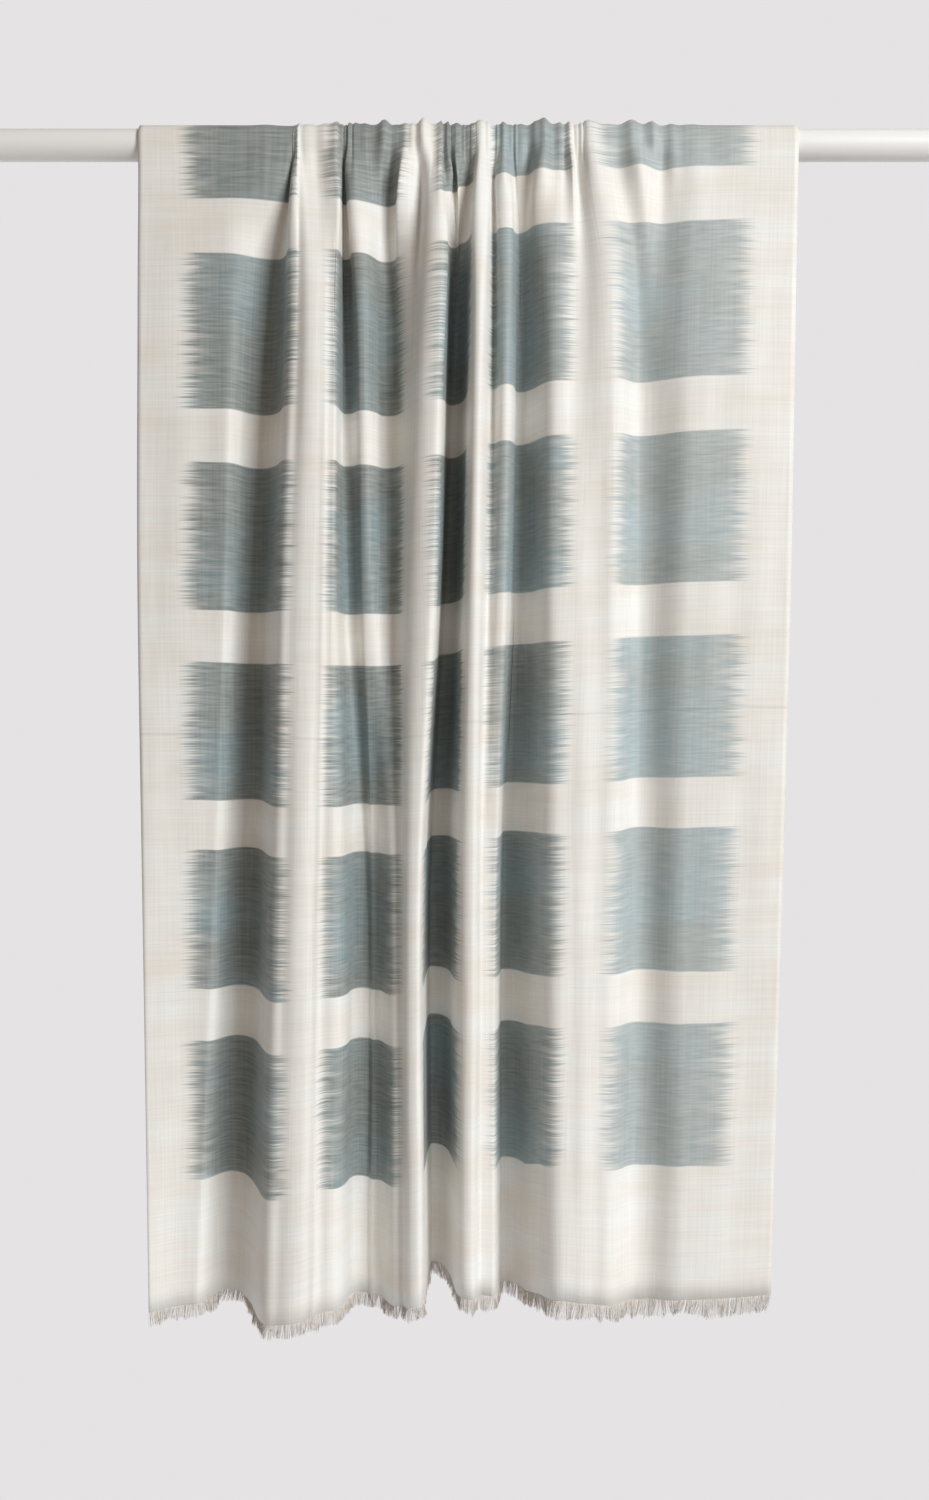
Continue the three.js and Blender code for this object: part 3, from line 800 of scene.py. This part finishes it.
def colour_prop(name, description, default):
    """An sRGB colour of 0 to 255."""
    return bpy.props.IntVectorProperty(name=name, description=description, default=default,
                                       size=3, min=0, max=255)


class ShawlSettings(bpy.types.PropertyGroup):
    """Sizes and colours of the shawl, its fringes and the rod."""

    rod_radius: length_prop("Rod Radius", "Radius of the rod under the cloth", 0.0125)
    clearance: length_prop("Clearance", "Air between the rod and the cloth", 0.0003)
    thickness: length_prop("Cloth Thickness", "Thickness of the woven cloth", 0.0007)
    front_hem: length_prop("Front Hem", "Depth of the front hem below the rod", 0.975)
    back_hem: length_prop("Back Hem", "Depth of the back hem below the rod", 0.972)
    ripple: length_prop("Ripples", "Height of the soft uneven waves in the cloth", 0.0007)
    crimp: length_prop("Crimp", "Mean height of the fine gathers on the rod", 0.0011)
    evenness: bpy.props.FloatProperty(
        name="Evenness", description="How evenly the grid's columns are spread", default=2.2)
    border: length_prop("Border", "Plain cloth between the selvage and the squares", 0.042)
    square_wide: length_prop("Square Width", "Width of a woven square", 0.116)
    square_tall: length_prop("Square Height", "Height of a woven square", 0.124)
    gap_wide: length_prop("Gap Width", "Plain cloth between two columns", 0.044)
    gap_tall: length_prop("Gap Height", "Plain cloth between two rows", 0.045)
    right_pale: bpy.props.FloatProperty(
        name="Paler Right", description="How much thinner the dye is in the right column",
        default=0.27, min=0, max=1)
    feather: length_prop("Feather", "How far the dye steps in and out at a side", 0.016)
    crease: length_prop("Pressed Line", "Distance of the pressed line from the middle", 0.509)
    fringe_length: length_prop("Fringe Length", "Length of the loose threads", 0.0130)
    fringe_right: bpy.props.FloatProperty(
        name="Longer Right", description="How much longer the threads are at the right",
        default=0.28, min=0, max=1)
    thread: length_prop("Thread Radius", "Radius of a fringe thread", 0.00019)
    threads: bpy.props.IntProperty(
        name="Threads", description="Threads in each fringe", default=3600, min=100, max=5000)
    ivory: colour_prop("Ivory", "Undyed yarn", (231, 231, 229))
    ivory_warm: colour_prop("Warm Ivory", "Undyed yarn where it is warmer", (227, 223, 216))
    yarn: colour_prop("Loose Yarn", "The fringe's loose ends", (204, 194, 186))
    slate_deep: colour_prop("Deep Slate", "Dyed yarn where it is darkest", (119, 126, 125))
    slate_pale: colour_prop("Pale Slate", "Dyed yarn where it is palest", (143, 150, 148))
    slate_cool: colour_prop("Cool Slate", "Dyed yarn where it is bluest", (136, 161, 169))
    paint: colour_prop("Paint", "The rod's white paint", (240, 240, 239))
    paint_shade: colour_prop("Paint Shade", "The rod's paint in its brush marks", (236, 236, 235))


class StageSettings(bpy.types.PropertyGroup):
    """The camera, the lights and the plain backdrop."""

    camera_distance: length_prop("Camera Distance", "From the front fall", 1.012)
    camera_height: length_prop("Camera Height", "Above or below the rod", -0.4402)
    camera_side: length_prop("Camera Side", "Right of the middle", -0.002)
    lens: bpy.props.FloatProperty(
        name="Lens", description="Focal length in millimetres", default=28.66, min=5, max=200)
    tilt: bpy.props.FloatProperty(
        name="Tilt", description="How far the camera looks down", default=0.0628,
        unit="ROTATION", subtype="ANGLE")
    backdrop: colour_prop("Backdrop", "The plain wall and floor", (229, 227, 228))
    room: colour_prop("Room Light", "The dim warm light from all around", (138, 127, 116))
    floor: length_prop("Floor", "Height of the floor", -1.9)
    key: bpy.props.FloatProperty(
        name="Key Light", description="Power of the soft light on the right, in watts", default=112)
    fill: bpy.props.FloatProperty(
        name="Fill Light", description="Power of the cool light on the left, in watts", default=4)
    low: bpy.props.FloatProperty(
        name="Low Light", description="Power of the light aimed low on the left, in watts",
        default=0.4)


class SHAWL_OT_cloth(bpy.types.Operator):
    """Builds the draped cloth in one piece, from the back hem over the rod to the front hem"""

    bl_idname = "shawl.cloth"
    bl_label = "Draped Cloth"

    def execute(self, context):
        p = context.scene.shawl
        points, flat, along = cloth_surface(p)
        mesh = shell_mesh("shawl_cloth", points, p.thickness, np.stack([flat, along], 2))
        cloth = show("shawl_cloth", mesh, cloth_material(p))
        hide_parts("cloth_front", "cloth_over_rod", "cloth_back")
        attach(cloth, "root")
        return {"FINISHED"}


class SHAWL_OT_fringes(bpy.types.Operator):
    """Builds the fine threads that hang from the two hems"""

    bl_idname = "shawl.fringes"
    bl_label = "Fringes"

    def execute(self, context):
        p = context.scene.shawl
        points, flat, _ = cloth_surface(p)
        outward = grid_normals(points)
        yarn = yarn_material(p)
        for side, row, seed in (("front", -1, 21), ("back", 0, 22)):
            out = outward[row] * [1, 1, 0]
            out /= np.linalg.norm(out, axis=1, keepdims=True)
            mesh = fringe_mesh("threads_" + side, points[row], flat[row], out, p, seed)
            threads = show("threads_" + side, mesh, yarn)
            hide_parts("fringe_" + side)
            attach(threads, "root")
        return {"FINISHED"}


class SHAWL_OT_rod_paint(bpy.types.Operator):
    """Paints the rod white"""

    bl_idname = "shawl.rod_paint"
    bl_label = "Rod Paint"

    def execute(self, context):
        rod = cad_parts["rod"]
        for place in rod.material_slots:
            place.material = rod_material(context.scene.shawl)
        return {"FINISHED"}


class SHAWL_OT_stage(bpy.types.Operator):
    """Sets the backdrop, the soft lights and the camera"""

    bl_idname = "shawl.stage"
    bl_label = "Stage"

    def execute(self, context):
        p = context.scene.shawl_stage
        scene = context.scene
        scene.view_settings.view_transform = "Standard"
        world = bpy.data.worlds.new("pale_studio")
        world.use_nodes = True
        glow = world.node_tree.nodes["Background"]
        glow.inputs["Color"].default_value = linear(p.room)
        glow.inputs["Strength"].default_value = 1.0
        scene.world = world
        show("backdrop", backdrop_mesh("backdrop", p.floor), backdrop_material(p))
        self.lights(scene, p)
        camera = bpy.data.objects.new("camera", bpy.data.cameras.new("camera"))
        camera.data.lens = p.lens
        camera.data.clip_end = 50
        front = -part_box("rod")[1].z
        camera.location = (p.camera_side, front - p.camera_distance, p.camera_height)
        camera.rotation_euler = (math.pi / 2 - p.tilt, 0, 0)
        scene.collection.objects.link(camera)
        scene.camera = camera
        return {"FINISHED"}

    @staticmethod
    def lights(scene, p):
        """Adds the panels of the table of lights, each turned to its aim."""
        for row in LIGHTS:
            light = bpy.data.lights.new(row["name"], "AREA")
            light.shape = "SQUARE"
            light.size = row["size"]
            light.spread = row["spread"]
            light.energy = getattr(p, row["name"])
            light.color = row["colour"]
            obj = bpy.data.objects.new(row["name"], light)
            obj.location = row["place"]
            aim = Vector(row["aim"]) - obj.location
            obj.rotation_euler = aim.to_track_quat("-Z", "Y").to_euler()
            scene.collection.objects.link(obj)


class SHAWL_PT_panel(bpy.types.Panel):
    """Lists the shawl's pieces and settings"""

    bl_idname = "SHAWL_PT_panel"
    bl_label = "Shawl on a Rod"
    bl_space_type = "VIEW_3D"
    bl_region_type = "UI"
    bl_category = "Shawl"

    def draw(self, context):
        for operator in OPERATORS:
            self.layout.operator(operator.bl_idname)
        for group in (context.scene.shawl, context.scene.shawl_stage):
            box = self.layout.box()
            for key in group.bl_rna.properties.keys():
                if key not in {"rna_type", "name"}:
                    box.prop(group, key)


OPERATORS = (SHAWL_OT_cloth, SHAWL_OT_fringes, SHAWL_OT_rod_paint, SHAWL_OT_stage)
CLASSES = (ShawlSettings, StageSettings, *OPERATORS, SHAWL_PT_panel)


def register():
    """Makes the settings, the operators and the panel known."""
    for cls in CLASSES:
        bpy.utils.register_class(cls)
    bpy.types.Scene.shawl = bpy.props.PointerProperty(type=ShawlSettings)
    bpy.types.Scene.shawl_stage = bpy.props.PointerProperty(type=StageSettings)


def unregister():
    """Takes the settings, the operators and the panel away again."""
    del bpy.types.Scene.shawl_stage
    del bpy.types.Scene.shawl
    for cls in reversed(CLASSES):
        bpy.utils.unregister_class(cls)


def main():
    """Runs each operator in order."""
    register()
    bpy.ops.shawl.cloth()
    bpy.ops.shawl.fringes()
    bpy.ops.shawl.rod_paint()
    bpy.ops.shawl.stage()


if __name__ == "__main__":
    main()
